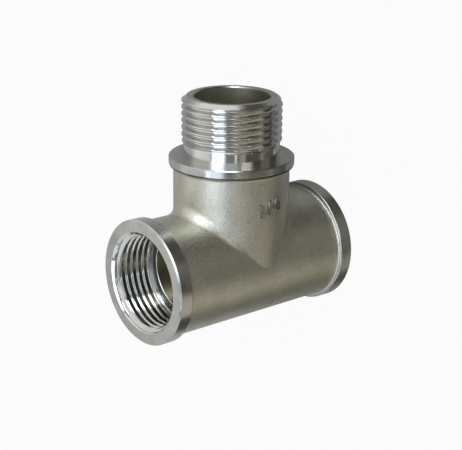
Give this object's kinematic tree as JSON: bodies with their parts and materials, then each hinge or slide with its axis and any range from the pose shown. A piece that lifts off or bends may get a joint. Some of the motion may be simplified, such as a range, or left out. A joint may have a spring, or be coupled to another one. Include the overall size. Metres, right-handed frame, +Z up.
{
  "type": "threaded tee",
  "caption": "One-piece threaded pipe tee: internally threaded run ports with end rings, and an externally threaded branch above a round collar.",
  "frame": {"origin": "where the run's axis and the branch's axis cross", "axes": "+X along the run, +Y out of the branch, +Z up as the tee lies on its side, on its end rings and its collar"},
  "size_m": [0.0594, 0.0619, 0.0332],
  "materials": {
    "nickel_plated_brass": "nickel plated over a blasted forged skin, with turned faces, rings, collar and threads"
  },
  "bodies": {
    "root": {"tee_body": "nickel_plated_brass"}
  },
  "joints": []
}
